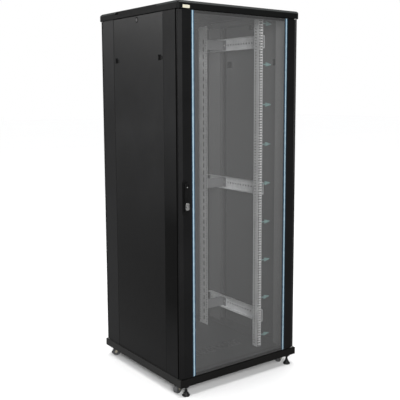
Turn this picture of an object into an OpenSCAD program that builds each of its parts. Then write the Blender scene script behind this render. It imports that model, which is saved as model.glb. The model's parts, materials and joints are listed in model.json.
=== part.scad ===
// Floor-standing network server rack cabinet for 19 inch equipment.
// Millimetres, +Z up. The origin is on the floor under the middle of the
// cabinet. The glass front door faces -Y and the steel rear door faces +Y.

/* [Cabinet] */
// Width of the roof and of the plinth
cab_w = 800; // [780:10:900]
// Depth of the roof and of the plinth
cab_d = 800; // [780:10:1000]
// Height from the floor to the top of the roof
cab_h = 2000; // [1996:1:2100]
// Rack units between the bottom and the top of the rails
units = 42; // [40:1:42]
// How far doors, posts and side panels stand back from roof and plinth
inset = 6; // [4:1:8]

/* [Base and roof] */
// Height of the plinth above the floor
foot_h = 56; // [54:1:60]
// Height of the plinth beams
base_h = 38; // [36:1:44]
// Width of the plinth beams
base_beam_w = 90; // [84:1:100]
// Height of the roof
roof_h = 40; // [36:1:50]
// Size of the bevel around the top of the roof
roof_bevel = 12; // [8:1:14]

/* [Doors and panels] */
// Thickness of the front door
door_t = 24; // [22:1:26]
// Width of each black strip beside the glass
strip_w = 76; // [70:1:90]
// Width of each light blue line beside the glass
line_w = 17; // [10:1:20]
// Thickness of the rear door
rear_t = 20; // [18:1:24]
// Depth of the folded edges of the side panels
panel_t = 15; // [12:1:18]

/* [Rails] */
// Distance between the inner edges of the left and right rails
rail_gap = 450; // [448:1:452]
// Width of the front face of a rail
rail_face = 30; // [28:1:34]
// How far the front rails stand behind the front of the cabinet
rail_front_back = 135; // [125:5:170]
// How far the rear rails stand inside the rear of the cabinet
rail_rear_in = 95; // [90:1:100]
// Depth of the side flange of a front rail
front_flange = 40; // [36:1:50]
// Depth of the side flange of a rear rail
rear_flange = 85; // [70:1:90]

/* [Casters and feet] */
// Radius of a caster wheel
wheel_r = 24; // [20:0.5:24]
// Distance of the wheel axle behind the swivel axis
trail = 20; // [16:1:20]
// Radius of the pad of a levelling foot
pad_r = 20; // [16:1:20]
// How far the caster wheels hang above the floor when the feet carry
wheel_lift = 2; // [2:0.1:2.4]

/* [Hidden] */
$fn = 48;
eps = 0.01;

// Standard rack dimensions
unit_h = 44.45;
hole_rows = [6.35, 22.225, 38.1];
hole_pitch_x = 465.1;
square_hole = 9.5;

// Outer planes
half_w = cab_w / 2;
half_d = cab_d / 2;
body_x = half_w - inset;
body_y = half_d - inset;
base_top = foot_h + base_h;
roof_z = cab_h - roof_h;
door_z0 = base_top + 4;
door_z1 = roof_z - 3;
door_len = door_z1 - door_z0;

// Sheet metal
sheet = 2;
base_t = 2.5;
gusset_t = 4;
gusset_w = 130;

// Posts
post_w = 44;
post_gap = 3;
post_front_y = -body_y + door_t + post_gap;
post_rear_y = body_y - rear_t - post_gap;
panel_y0 = -half_d + 143;
panel_y1 = half_d - 155;
post_in = body_x - post_w;
post_flange = 22;

// Top frame
top_out_x = half_w - 16;
top_out_y = half_d - 16;
top_beam_w = 50;
side_notch_z = roof_z + 21;
notch_y0 = -half_d + 195;
notch_y1 = half_d - 185;

// Doors
hinge_r = door_t / 2;
hinge_x = body_x - hinge_r;
hinge_y = -body_y + hinge_r;
strip_in = body_x - strip_w;
front_y = -body_y;
door_back = front_y + door_t;
glass_t = 5;
line_t = 0.5;
crossbar_h = 14;
rear_hinge_r = rear_t / 2;
rear_hinge_x = -body_x + rear_hinge_r;
rear_hinge_y = body_y - rear_hinge_r;
pin_r = 4;
pin_len = 22;
run = 0.05;

// Swing handle
handle_x = -half_w + 39;
handle_z = foot_h + 1047;
handle_w = 24;
lever_low = foot_h + 916;
handle_base_t = 6;
lever_y0 = front_y - handle_base_t - 3;
lever_t = 15;
pivot_y = lever_y0 - 6;
hub_r = 8;
key_z = foot_h + 941;
key_r = 8;
bezel_t = 1.5;
proud = half_d + 19.5;

// Rails
rail_in = rail_gap / 2;
rail_y0 = -half_d + rail_front_back;
rail_y1 = half_d - rail_rear_in;
rail_z0 = base_top;
rail_len = units * unit_h - 2;
hole_x = hole_pitch_x / 2 - rail_in;
small_r = 3.1;
slot_w = 5;
slot_h = 11;
level_z = [
  rail_z0 + 3 * unit_h + hole_rows[0],
  rail_z0 + 20 * unit_h + hole_rows[1],
  rail_z0 + (units - 3) * unit_h + hole_rows[1]
];

// Side beams and brackets
beam_h = 72;
beam_flange = 25;
beam_y0 = -half_d + 232;
beam_y1 = post_rear_y - 16;
post_bolt_y = [beam_y1 - 20, beam_y1 - 80];
bracket_t = 3;
bracket_h = 60;
bracket_tab = 36;
bolt_r = 3;

// Cable hooks
hook_count = 9;
hook_z0 = foot_h + 105;
hook_pitch = 5 * unit_h;
hook_root = 24;
hook_tip = 63;

// Casters and feet, measured in from the corner of the plinth
foot_x = half_w - 47;
foot_y = half_d - 20;
swivel_x = half_w - 48;
swivel_y = half_d - 78;
plate_s = 60;
plate_t = 3;
plate_hole = 22;
wheel_w = 24;
axle_r = 4;
axle_z = wheel_r + wheel_lift;
fork_top = foot_h - plate_t - 0.5;
stem_r = 6;
disc_t = 2;
// How far each fork is turned from trailing straight back
turn_front_left = 108;
turn_front_right = 116;
turn_rear_left = 50;
turn_rear_right = -20;
anchor_x = half_w - 45;
anchor_y = half_d - 200;
anchor_r = 6.5;

// Side latches and locks
latch_z = foot_h + 1678;
latch_w = 20;
latch_h = 20;
latch_travel = 8;
front_latch_y = -half_d + 176;
rear_latch_y = half_d - 184;
lock_y = (panel_y0 + panel_y1) / 2;
lock_z = foot_h + 1881;
lock_r = 9;

// Cable entries, roof vents and lock rods
bottom_z = base_top - base_t - sheet;
entry_w = 300;
entry_d = 120;
entry_y = half_d - 180;
top_frame_h = roof_h - sheet;
vent_x = 150;
vent_y = 110;
fan_pitch = 105;
roof_entry_y = half_d - 120;
roof_entry_d = 70;
rod_y = front_y + 13.5;
rear_handle_x = body_x - 44;
panel_sheet = 1.5;

// Places where brackets are bolted to the web of a side beam
front_bracket_y = rail_y0 + front_flange + 3;
rear_bracket_y = rail_y1 - rear_flange - 5;
front_web_y = beam_y0 + bracket_t;
front_web_bolt_y = front_web_y + bracket_t + 15;
rear_web_bolt_y = rear_bracket_y - 15;
web_bolt_y = concat([front_web_bolt_y, rear_web_bolt_y], post_bolt_y);

// ---- helpers ----

// Extrude a Y-Z outline along X, centred
module along_x(len) {
  rotate([90, 0, 90]) linear_extrude(len, center = true) children();
}

// Extrude an X-Z outline along Y, centred
module along_y(len) {
  rotate([90, 0, 0]) linear_extrude(len, center = true) children();
}

// Channel outline, open towards +X
module channel_2d(w, h, t) {
  difference() {
    square([w, h]);
    translate([t, t]) square([w, h - 2 * t]);
  }
}

// Rectangle with round corners, centred
module rounded_2d(w, h, r) {
  square([w - 2 * r, h], center = true);
  square([w, h - 2 * r], center = true);
  for (x = [-1, 1], y = [-1, 1])
    translate([x * (w / 2 - r), y * (h / 2 - r)]) circle(r);
}

// Slot with round ends, centred, long along X
module slot_2d(w, h) {
  square([w - h, h], center = true);
  for (x = [-1, 1]) translate([x * (w - h) / 2, 0]) circle(h / 2, $fn = 24);
}

// Rounded plate lying in the X-Z plane, from y = 0 towards +Y
module upright_plate(w, h, r, t) {
  translate([0, t, 0]) rotate([90, 0, 0]) linear_extrude(t) rounded_2d(w, h, r);
}

module both_x() {
  children();
  mirror([1, 0, 0]) children();
}

module both_y() {
  children();
  mirror([0, 1, 0]) children();
}

module four_corners() {
  both_x() both_y() children();
}

// Plan outline of one mitred beam of a ring, at the -Y side
module mitre_y_2d(ox, oy, w) {
  polygon([[-ox, -oy], [ox, -oy], [ox - w, -oy + w], [-ox + w, -oy + w]]);
}

// Plan outline of one mitred beam of a ring, at the +X side
module mitre_x_2d(ox, oy, w) {
  polygon([[ox, -oy], [ox, oy], [ox - w, oy - w], [ox - w, -oy + w]]);
}

// ---- base ----

// Holes through the plinth floor for the feet and the caster bolts
module floor_holes(bolt_hole) {
  four_corners() {
    translate([foot_x, foot_y, foot_h - 10]) cylinder(r = stem_r + run, h = 40);
    for (x = [-1, 1], y = [-1, 1])
      translate([swivel_x + x * plate_hole, swivel_y + y * plate_hole, foot_h - 10])
        cylinder(r = bolt_hole, h = 30);
  }
}

module anchor_holes() {
  four_corners()
    translate([anchor_x, anchor_y, foot_h - 5]) cylinder(r = anchor_r, h = 10);
}

module base_cross_beams() {
  color("#262626") difference() {
    both_y() intersection() {
      along_x(cab_w) translate([-half_d, foot_h])
        channel_2d(base_beam_w, base_h, base_t);
      linear_extrude(base_top + 10) mitre_y_2d(half_w, half_d, base_beam_w);
    }
    floor_holes(bolt_r + 0.3);
  }
}

module base_side_beams() {
  color("#262626") difference() {
    both_x() intersection() {
      along_y(cab_d) translate([half_w, foot_h]) mirror([1, 0])
        channel_2d(base_beam_w, base_h, base_t);
      linear_extrude(base_top + 10) mitre_x_2d(half_w, half_d, base_beam_w);
    }
    floor_holes(bolt_r + 0.3);
    anchor_holes();
  }
}

module base_gussets() {
  long = gusset_w - base_t;
  short = base_beam_w - base_t - 2;
  color("#9a9a98") difference() {
    four_corners() translate([0, 0, foot_h + base_t]) linear_extrude(gusset_t) {
      translate([half_w - base_t - long, half_d - base_t - short]) square([long, short]);
      translate([half_w - base_t - short, half_d - base_t - long]) square([short, long]);
    }
    floor_holes(bolt_r + 0.3);
  }
}

module bottom_panel() {
  over = 20;
  w = cab_w - 2 * base_beam_w + 2 * over;
  d = cab_d - 2 * base_beam_w + 2 * over;
  color("#2b2b2b") translate([0, 0, bottom_z]) linear_extrude(sheet) difference() {
    square([w, d], center = true);
    translate([0, entry_y]) square([entry_w, entry_d], center = true);
    for (i = [-3:3], j = [-2:2])
      translate([i * 60, -120 + j * 16]) slot_2d(44, 6);
  }
}

// ---- posts and top frame ----

// Plan outline of the front left post
module front_post_2d() {
  translate([-body_x, post_front_y]) {
    square([sheet, panel_y0 - post_front_y]);
    square([post_w, sheet]);
    translate([post_w - sheet, 0]) square([sheet, panel_y0 - post_front_y - 6]);
  }
  translate([-body_x, panel_y0 - sheet]) square([post_flange, sheet]);
}

// Plan outline of the rear left post
module rear_post_2d() {
  translate([-body_x, panel_y1]) {
    square([sheet, post_rear_y - panel_y1]);
    square([post_flange, sheet]);
  }
  translate([-body_x, post_rear_y - sheet]) square([post_w, sheet]);
  translate([-post_in - sheet, panel_y1 + 6]) square([sheet, post_rear_y - panel_y1 - 6]);
}

// Bolt holes from the side beams through the inner wall of a rear post
module beam_bolt_holes(r) {
  for (z = level_z, y = post_bolt_y)
    translate([-post_in - sheet - 5, y, z]) rotate([0, 90, 0]) cylinder(r = r, h = 20);
}

module post() {
  color("#303030")
    translate([0, 0, base_top]) linear_extrude(roof_z - base_top) children();
}

module front_left_post() {
  post() front_post_2d();
}

module front_right_post() {
  mirror([1, 0, 0]) front_left_post();
}

module rear_left_post() {
  difference() {
    post() rear_post_2d();
    beam_bolt_holes(bolt_r + 0.3);
  }
}

module rear_right_post() {
  mirror([1, 0, 0]) rear_left_post();
}

module top_cross_beams() {
  color("#303030") both_y() intersection() {
    along_x(2 * top_out_x) translate([-top_out_y, roof_z])
      channel_2d(top_beam_w, top_frame_h, sheet);
    linear_extrude(cab_h) mitre_y_2d(top_out_x, top_out_y, top_beam_w);
  }
}

module top_side_beams() {
  color("#303030") both_x() intersection() {
    along_y(2 * top_out_y) translate([top_out_x, roof_z]) mirror([1, 0])
      channel_2d(top_beam_w, top_frame_h, sheet);
    linear_extrude(cab_h) mitre_x_2d(top_out_x, top_out_y, top_beam_w);
  }
}

// ---- roof ----

// Side outline of the roof: upright fascia with a bevelled top edge
module roof_profile_2d(half, drop, bevel) {
  top = cab_h - drop;
  polygon([
    [-half, roof_z - eps], [half, roof_z - eps], [half, top - bevel],
    [half - bevel, top], [-half + bevel, top], [-half, top - bevel]
  ]);
}

// Solid form of the roof, drawn in on every side by the given amount
module roof_form(shrink) {
  corner = 10;
  w = half_w - shrink;
  d = half_d - shrink;
  intersection() {
    along_y(cab_d) roof_profile_2d(w, shrink, roof_bevel);
    along_x(cab_w) roof_profile_2d(d, shrink, roof_bevel);
    translate([0, 0, roof_z]) linear_extrude(roof_h) polygon([
      [-w + corner, -d], [w - corner, -d], [w, -d + corner], [w, d - corner],
      [w - corner, d], [-w + corner, d], [-w, d - corner], [-w, -d + corner]
    ]);
  }
}

// Step along the top of both roof sides
module roof_notches(grow) {
  both_x() translate([half_w - roof_bevel - grow, notch_y0 - grow, side_notch_z - grow])
    cube([50, notch_y1 - notch_y0 + 2 * grow, 50]);
}

module vent_2d() {
  for (i = [-3:3]) translate([0, i * 13]) slot_2d(112 - abs(i) * 12, 6);
}

module roof_cover() {
  color("#3c3c3c") difference() {
    roof_form(0);
    roof_notches(0);
    difference() {
      roof_form(sheet);
      roof_notches(sheet);
    }
    translate([0, 0, cab_h - 10]) linear_extrude(20) {
      for (x = [-1, 1], y = [-1, 1]) translate([x * vent_x, y * vent_y - 40]) {
        vent_2d();
        for (i = [-1, 1], j = [-1, 1])
          translate([i * fan_pitch / 2, j * fan_pitch / 2]) circle(2.2);
      }
      translate([0, roof_entry_y]) square([entry_w, roof_entry_d], center = true);
    }
  }
}

// Plate with two cable slots, bolted under an entry
module cable_cover(w, d, slot_x, slot_w, slot_d) {
  linear_extrude(sheet) difference() {
    rounded_2d(w, d, 6);
    for (x = [-1, 1]) translate([x * slot_x, 0]) rounded_2d(slot_w, slot_d, 4);
  }
}

// One cover under the roof and one under the bottom panel
module cable_covers() {
  color("#2b2b2b") {
    translate([0, roof_entry_y, cab_h - 2 * sheet])
      cable_cover(entry_w + 30, roof_entry_d + 26, 80, 100, 26);
    translate([0, entry_y, bottom_z - sheet])
      cable_cover(entry_w + 30, entry_d + 24, 90, 70, 40);
  }
}

module badge_plate() {
  color("#d8d2b8") translate([-half_w + 49.5, -half_d - 1, roof_z + 10])
    upright_plate(41, 15, 2, 1);
}

// ---- rails, beams and brackets ----

// Face of a rail: one column of square holes, three to a unit
module rail_face_2d() {
  difference() {
    translate([0, 1]) square([rail_face, rail_len]);
    for (k = [0:units - 1], row = hole_rows)
      translate([hole_x, k * unit_h + row]) square(square_hole, center = true);
  }
}

// Side flange of a rail: one column of bolt holes, slots in groups if wide
module rail_flange_2d(depth, slotted) {
  difference() {
    translate([sheet, 1]) square([depth - sheet, rail_len]);
    for (k = [0:units - 1], row = hole_rows)
      translate([depth - 8, k * unit_h + row]) circle(small_r);
    if (slotted) for (g = [0:5], i = [0:7])
      translate([depth / 2 - 4, unit_h * (7 * g + 1) + i * unit_h / 2 + 10])
        square([slot_w, slot_h], center = true);
  }
}

// Rail with its face at y = 0 looking towards -Y and its inner edge at x = 0
module rail(depth, slotted) {
  translate([0, sheet, 0]) rotate([90, 0, 0]) linear_extrude(sheet) rail_face_2d();
  rotate([90, 0, 90]) linear_extrude(sheet) rail_flange_2d(depth, slotted);
  translate([rail_face - sheet, sheet, 1]) cube([sheet, 13, rail_len]);
}

module front_right_rail() {
  color("#b8bab9") translate([rail_in, rail_y0, rail_z0]) rail(front_flange, false);
}

module front_left_rail() {
  mirror([1, 0, 0]) front_right_rail();
}

module rear_right_rail() {
  color("#b8bab9") translate([rail_in, rail_y1, rail_z0]) mirror([0, 1, 0])
    rail(rear_flange, true);
}

module rear_left_rail() {
  mirror([1, 0, 0]) rear_right_rail();
}

// One side beam on the right: web on the rear post, front end on the rail bracket
module side_beam(z) {
  len = beam_y1 - beam_y0;
  mid = (beam_y0 + beam_y1) / 2;
  pitch = 25;
  steps = floor((len / 2 - 40) / pitch);
  difference() {
    translate([0, mid, z - beam_h / 2]) along_y(len) translate([post_in, 0])
      mirror([1, 0]) channel_2d(beam_flange, beam_h, sheet);
    for (i = [-steps:steps]) translate([post_in - 10, mid + i * pitch, z]) {
      if (min([for (b = web_bolt_y) abs(mid + i * pitch - b)]) > 9)
        translate([0, -4, -4]) cube([20, 8, 8]);
      translate([0, 0, 20]) rotate([0, 90, 0]) cylinder(r = 2.5, h = 20);
    }
    for (y = web_bolt_y)
      translate([post_in - 10, y, z]) rotate([0, 90, 0])
        cylinder(r = bolt_r + 0.3, h = 20);
  }
}

module right_side_beams() {
  color("#a7a9aa") for (z = level_z) side_beam(z);
}

module left_side_beams() {
  mirror([1, 0, 0]) right_side_beams();
}

// Plate from a rail flange out to the web of a side beam, tabs at both ends
module bracket(plate_y, web_y, dir, z) {
  rail_x = rail_in + sheet;
  web_x = post_in - sheet;
  back = dir > 0 ? plate_y : plate_y + bracket_t;
  rail_bolt_y = dir > 0 ? rail_y0 + front_flange - 8 : rail_y1 - rear_flange + 8;
  web_bolt_y = dir > 0 ? front_web_bolt_y : rear_web_bolt_y;
  difference() {
    translate([0, 0, z - bracket_h / 2]) linear_extrude(bracket_h) {
      polygon([[rail_x, plate_y], [web_x, web_y], [web_x, web_y + bracket_t],
               [rail_x, plate_y + bracket_t]]);
      translate([rail_x, dir > 0 ? back - bracket_tab + bracket_t : back - bracket_t])
        square([bracket_t, bracket_tab]);
      translate([web_x - bracket_t, dir > 0 ? web_y : web_y - 30 + bracket_t])
        square([bracket_t, 30]);
    }
    translate([rail_x - 5, rail_bolt_y, z]) rotate([0, 90, 0])
      cylinder(r = bolt_r + 0.2, h = 15);
    translate([web_x - 10, web_bolt_y, z]) rotate([0, 90, 0])
      cylinder(r = bolt_r + 0.2, h = 15);
  }
}

module rail_brackets() {
  color("#8f96a0") both_x() for (z = level_z) {
    bracket(front_bracket_y, front_web_y, 1, z);
    bracket(rear_bracket_y, rear_bracket_y, -1, z);
  }
}

// Hook that holds cables beside a front rail: thin stem and triangular head
module hook(z) {
  translate([rail_in + rail_face, rail_y0 + 6, z]) rotate([90, 0, 0])
    linear_extrude(3) polygon([
      [0, -3], [hook_root, -3], [hook_root, -12], [hook_tip, -2], [hook_tip, 2],
      [hook_root, 12], [hook_root, 3], [0, 3]
    ]);
}

module cable_hooks() {
  color("#8fa5a0") both_x() for (k = [0:hook_count - 1]) hook(hook_z0 + k * hook_pitch);
}

// Cap screw along +X with its head at x0
module cross_bolt(x0, y, z, len) {
  translate([x0, y, z]) rotate([0, 90, 0]) {
    cylinder(r = bolt_r, h = len);
    translate([0, 0, -3]) cylinder(r = 5, h = 3, $fn = 6);
  }
}

module frame_bolts() {
  color("#c9c9c4") {
    // Caster bolts, each with its nut above the gusset
    four_corners() for (x = [-1, 1], y = [-1, 1])
      translate([swivel_x + x * plate_hole, swivel_y + y * plate_hole, foot_h - plate_t]) {
        cylinder(r = bolt_r, h = 20);
        translate([0, 0, -2.6]) cylinder(r = 5, h = 2.6);
        translate([0, 0, plate_t + base_t + gusset_t]) cylinder(r = 5.5, h = 5, $fn = 6);
      }
    both_x() for (z = level_z) {
      // Rail flange bolts, screwed from the outer side of the bracket tabs
      for (y = [rail_y0 + front_flange - 8, rail_y1 - rear_flange + 8])
        mirror([1, 0, 0]) cross_bolt(-rail_in - sheet - bracket_t, y, z, bracket_t + sheet);
      // Bracket to beam and beam to post
      for (y = [front_web_bolt_y, rear_web_bolt_y])
        cross_bolt(post_in - sheet - bracket_t, y, z, bracket_t + sheet + 4);
      for (y = post_bolt_y) cross_bolt(post_in - sheet, y, z, sheet + 6);
    }
  }
}

// ---- hinges ----

// Upright hinge pin with a round flange, bottom one standing on the plinth
module hinge_pin_pair(x, y) {
  translate([x, y, base_top]) {
    cylinder(r = 10, h = 2);
    cylinder(r = pin_r, h = 4 + pin_len - 2);
  }
  translate([x, y, roof_z - 2]) cylinder(r = 10, h = 2);
  translate([x, y, roof_z - 3 - pin_len + 2]) cylinder(r = pin_r, h = pin_len + 1);
}

module hinge_pins() {
  color("#b0b0ad") {
    hinge_pin_pair(hinge_x, hinge_y);
    hinge_pin_pair(rear_hinge_x, rear_hinge_y);
  }
}

// Bores for one pair of hinge pins in a door
module pin_bores(x, y) {
  translate([x, y, door_z0 - 1]) cylinder(r = pin_r + run, h = pin_len + 1);
  translate([x, y, door_z1 - pin_len]) cylinder(r = pin_r + run, h = pin_len + 1);
}

// ---- front door ----

// Plan outline of the right strip: bullnose edge, open back
module strip_2d() {
  slope_x = body_x - 22;
  difference() {
    union() {
      translate([strip_in, front_y]) square([hinge_x - strip_in, door_t]);
      translate([hinge_x, hinge_y]) circle(hinge_r);
    }
    polygon([[slope_x, front_y], [body_x + 1, front_y + 8], [body_x + 1, front_y - 1],
             [slope_x, front_y - 1]]);
    translate([strip_in + sheet, front_y + sheet]) square([slope_x - strip_in - sheet, door_t]);
    translate([slope_x - 1, front_y + 5]) square([6, door_t]);
  }
  translate([strip_in - line_w, front_y + line_t + glass_t])
    square([line_w + 1, sheet]);
}

module strip() {
  translate([0, 0, door_z0]) linear_extrude(door_len) strip_2d();
}

module front_door_right_strip() {
  color("#1d1d1d") difference() {
    strip();
    pin_bores(hinge_x, hinge_y);
  }
}

module front_door_left_strip() {
  color("#1d1d1d") difference() {
    mirror([1, 0, 0]) strip();
    translate([handle_x, front_y - 1, handle_z]) rotate([-90, 0, 0])
      cylinder(r = hub_r + 1, h = 6);
  }
}

module front_door_crossbars() {
  back = front_y + line_t + glass_t;
  color("#1d1d1d") for (z = [door_z0, door_z1 - crossbar_h])
    translate([0, 0, z]) along_x(2 * (strip_in - line_w)) translate([back, 0])
      difference() {
        square([door_back - back, crossbar_h]);
        translate([2, 2]) square([door_back - back - 4, crossbar_h - 4]);
      }
}

module front_door_glass() {
  color("#8a9499", 0.45)
    translate([-strip_in + 0.5, front_y + line_t, door_z0 + 1])
      cube([2 * strip_in - 1, glass_t, door_len - 2]);
}

module front_door_lines() {
  color("#9cc4dc") both_x()
    translate([strip_in - line_w, front_y, door_z0 + 1])
      cube([line_w - 1, line_t, door_len - 2]);
}

// ---- swing handle of the front door ----

// Escutcheon from y = 0 towards +Y, with the bore that the hub turns in
module handle_base() {
  mid = (handle_z + lever_low) / 2;
  color("#161616") difference() {
    translate([0, 0, mid]) upright_plate(handle_w + 6, handle_z - lever_low + 40, 8, handle_base_t);
    translate([0, -1, handle_z]) rotate([-90, 0, 0])
      cylinder(r = hub_r + run, h = handle_base_t + 2);
  }
}

module front_handle_base() {
  translate([handle_x, front_y - handle_base_t, 0]) handle_base();
}

// Hub that turns in the base; its block carries the lever, its disc drives the rods
module front_handle_spindle() {
  disc_y = front_y + 9;
  color("#8d8f90") translate([handle_x, 0, handle_z]) difference() {
    union() {
      translate([0, lever_y0 + 1, 0]) rotate([-90, 0, 0])
        cylinder(r = hub_r, h = disc_y - lever_y0 - 1);
      translate([-8, lever_y0 - 11, -9]) cube([16, 12, 18]);
      translate([0, disc_y, 0]) rotate([-90, 0, 0]) cylinder(r = 14, h = 4);
    }
    translate([-20, pivot_y, 0]) rotate([0, 90, 0]) cylinder(r = 2.5 + run, h = 40);
  }
}

// Side outline of the lever, round about its pivot at the top
module lever_2d() {
  translate([pivot_y, handle_z]) circle(8);
  translate([lever_y0 - lever_t + 1.5, lever_low]) square([lever_t - 1.5, handle_z - lever_low]);
}

module front_handle_lever() {
  color("#202020") difference() {
    union() {
      difference() {
        translate([handle_x, 0, 0]) along_x(handle_w) lever_2d();
        translate([handle_x - 8.3, lever_y0 - 40, handle_z - 15]) cube([16.6, 60, 40]);
      }
      translate([handle_x - handle_w / 2 + 1, pivot_y, handle_z]) rotate([0, 90, 0])
        cylinder(r = 2.5, h = handle_w - 2);
    }
    translate([handle_x, lever_y0 - lever_t - 5, key_z]) rotate([-90, 0, 0])
      cylinder(r = key_r + run, h = lever_t + 2.5);
  }
}

module front_lock_bezel() {
  color("#c8c8c4") translate([handle_x, lever_y0 - lever_t, key_z]) difference() {
    upright_plate(handle_w - 1, 38, 11, bezel_t);
    translate([0, -1, 0]) rotate([-90, 0, 0]) cylinder(r = key_r + 0.3, h = 4);
  }
}

module front_key_cylinder() {
  color("#d0d0cc") translate([handle_x, -proud, key_z]) difference() {
    rotate([-90, 0, 0]) cylinder(r = key_r, h = 12);
    translate([-1, -1, -4]) cube([2, 5, 8]);
  }
}

// Flat lock rod behind the left strip
module rod(x, z0, z1) {
  translate([x - 4, rod_y, z0]) cube([8, 4, z1 - z0]);
}

module front_upper_rod() {
  color("#a0a2a3") rod(handle_x - 6, handle_z + 4, door_z1 - 1);
}

module front_lower_rod() {
  color("#a0a2a3") rod(handle_x + 6, door_z0 + 1, handle_z - 4);
}

// ---- rear door ----

module rear_door_2d() {
  translate([rear_hinge_x, body_y - sheet]) square([body_x - rear_hinge_x, sheet]);
  translate([rear_hinge_x, rear_hinge_y]) circle(rear_hinge_r);
  translate([body_x - sheet, body_y - rear_t]) square([sheet, rear_t]);
}

module rear_door_panel() {
  color("#262626") difference() {
    union() {
      translate([0, 0, door_z0]) linear_extrude(door_len) rear_door_2d();
      for (z = [door_z0, door_z1 - sheet])
        translate([rear_hinge_x, body_y - rear_t, z])
          cube([body_x - rear_hinge_x, rear_t, sheet]);
    }
    pin_bores(rear_hinge_x, rear_hinge_y);
    for (z = [door_z0 + 120, door_z1 - 220], i = [0:7], x = [-1, 1])
      translate([x * 130, body_y, z + i * 14]) along_y(20) slot_2d(220, 6);
    translate([rear_handle_x, body_y - 10, handle_z]) rotate([-90, 0, 0])
      cylinder(r = hub_r + 1, h = 20);
  }
}

module rear_handle_base() {
  translate([rear_handle_x, body_y, 0]) handle_base();
}

module rear_handle_lever() {
  y0 = body_y + handle_base_t + 3;
  color("#202020") translate([rear_handle_x, 0, 0]) {
    translate([0, y0, (lever_low + handle_z + 9) / 2])
      upright_plate(handle_w, handle_z + 9 - lever_low, 10, lever_t - 1.5);
    translate([0, body_y - 12, handle_z]) rotate([-90, 0, 0])
      cylinder(r = hub_r, h = y0 - body_y + 13);
    translate([-8, body_y - 14, handle_z - 34]) cube([16, 3, 43]);
    translate([0, y0 + lever_t - 2, key_z]) rotate([-90, 0, 0])
      cylinder(r = key_r, h = proud - y0 - lever_t + 2);
  }
}

// ---- side panels with their latches and locks ----

module left_side_panel() {
  w = panel_y1 - panel_y0 - 2;
  color("#3a3a3a") difference() {
    union() {
      translate([-body_x, panel_y0 + 1, door_z0]) cube([panel_t, w, door_len]);
      for (y = [panel_y0 + 60, panel_y1 - 90])
        translate([-body_x + 2, y, base_top]) cube([10, 30, 6]);
    }
    translate([-body_x + panel_sheet, panel_y0 + 1 + panel_sheet, door_z0 + panel_sheet])
      cube([panel_t, w - 2 * panel_sheet, door_len - 2 * panel_sheet]);
    for (y = [front_latch_y, rear_latch_y])
      translate([-body_x - 1, y - latch_w / 2, latch_z - latch_h / 2])
        cube([4, latch_w, latch_h]);
    translate([-body_x - 1, lock_y, lock_z]) rotate([0, 90, 0])
      cylinder(r = lock_r + run, h = 4);
  }
}

module right_side_panel() {
  mirror([1, 0, 0]) left_side_panel();
}

// Spring latch on the left panel: slider behind the sheet, thumb pad in the hole
module latch(y, dir) {
  slider_w = 42;
  slider_h = 36;
  slider_mid = y + dir * 7;
  pad_w = latch_w - latch_travel - 1;
  pad_y = y - dir * latch_travel / 2;
  x0 = -body_x + panel_sheet + 0.2;
  pad_x = -body_x + 0.3;
  color("#0d0d0d") {
    translate([x0, slider_mid - slider_w / 2, latch_z - slider_h / 2]) cube([3, slider_w, slider_h]);
    translate([pad_x, pad_y - pad_w / 2, latch_z - latch_h / 2 + 1])
      cube([x0 + 1 - pad_x, pad_w, latch_h - 2]);
  }
}

module left_front_latch() {
  latch(front_latch_y, 1);
}

module left_rear_latch() {
  latch(rear_latch_y, -1);
}

module right_front_latch() {
  mirror([1, 0, 0]) left_front_latch();
}

module right_rear_latch() {
  mirror([1, 0, 0]) left_rear_latch();
}

// Key lock at the top of the left panel: barrel with a cam behind it
module left_panel_lock() {
  color("#56585a") difference() {
    union() {
      translate([-body_x - 1.5, lock_y, lock_z]) rotate([0, 90, 0])
        cylinder(r = lock_r, h = 20);
      translate([-body_x + 15.5, lock_y - 7, lock_z - 8]) cube([3, 14, 26]);
    }
    translate([-body_x - 2, lock_y - 1, lock_z - 4]) cube([4, 2, 8]);
  }
}

module right_panel_lock() {
  mirror([1, 0, 0]) left_panel_lock();
}

// ---- casters and feet ----

module caster_plates() {
  color("#c9c3ae") difference() {
    four_corners() translate([swivel_x, swivel_y, foot_h - plate_t])
      linear_extrude(plate_t) difference() {
        rounded_2d(plate_s, plate_s, 6);
        circle(5 + run);
      }
    floor_holes(bolt_r + 0.3);
  }
}

// Swivel fork with its kingpin and axle; unturned, the wheel trails towards +Y
module caster_fork(sx, sy, turn) {
  cheek_x = wheel_w / 2 + 3;
  cheek_t = 2.5;
  color("#c9c3ae") translate([sx * swivel_x, sy * swivel_y, 0]) rotate([0, 0, turn]) {
    translate([0, 0, fork_top - disc_t]) cylinder(r = 20, h = disc_t);
    translate([0, 0, fork_top - 1]) cylinder(r = 5, h = plate_t + 1.3);
    for (s = [-1, 1]) translate([s * cheek_x, 0, 0]) along_x(cheek_t) {
      polygon([[-11, fork_top - disc_t / 2], [15, fork_top - disc_t / 2],
               [trail + 8, axle_z], [trail - 8, axle_z]]);
      translate([trail, axle_z]) circle(8);
    }
    translate([0, trail, axle_z]) rotate([0, 90, 0])
      cylinder(r = axle_r, h = wheel_w + 10, center = true);
  }
}

// Wheel turned from its half outline: hub, web and rounded tread
module caster_wheel(sx, sy, turn) {
  h = wheel_w / 2;
  color("#3f4144") translate([sx * swivel_x, sy * swivel_y, 0]) rotate([0, 0, turn])
    translate([0, trail, axle_z]) rotate([0, 90, 0]) rotate_extrude() polygon([
      [axle_r + run, -h], [9, -h], [10, -h + 3], [17, -h + 3], [18, -h + 1],
      [wheel_r - 3, -h + 1], [wheel_r - 1, -h + 2], [wheel_r, -h + 5], [wheel_r, h - 5],
      [wheel_r - 1, h - 2], [wheel_r - 3, h - 1], [18, h - 1], [17, h - 3],
      [10, h - 3], [9, h], [axle_r + run, h]
    ]);
}

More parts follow.
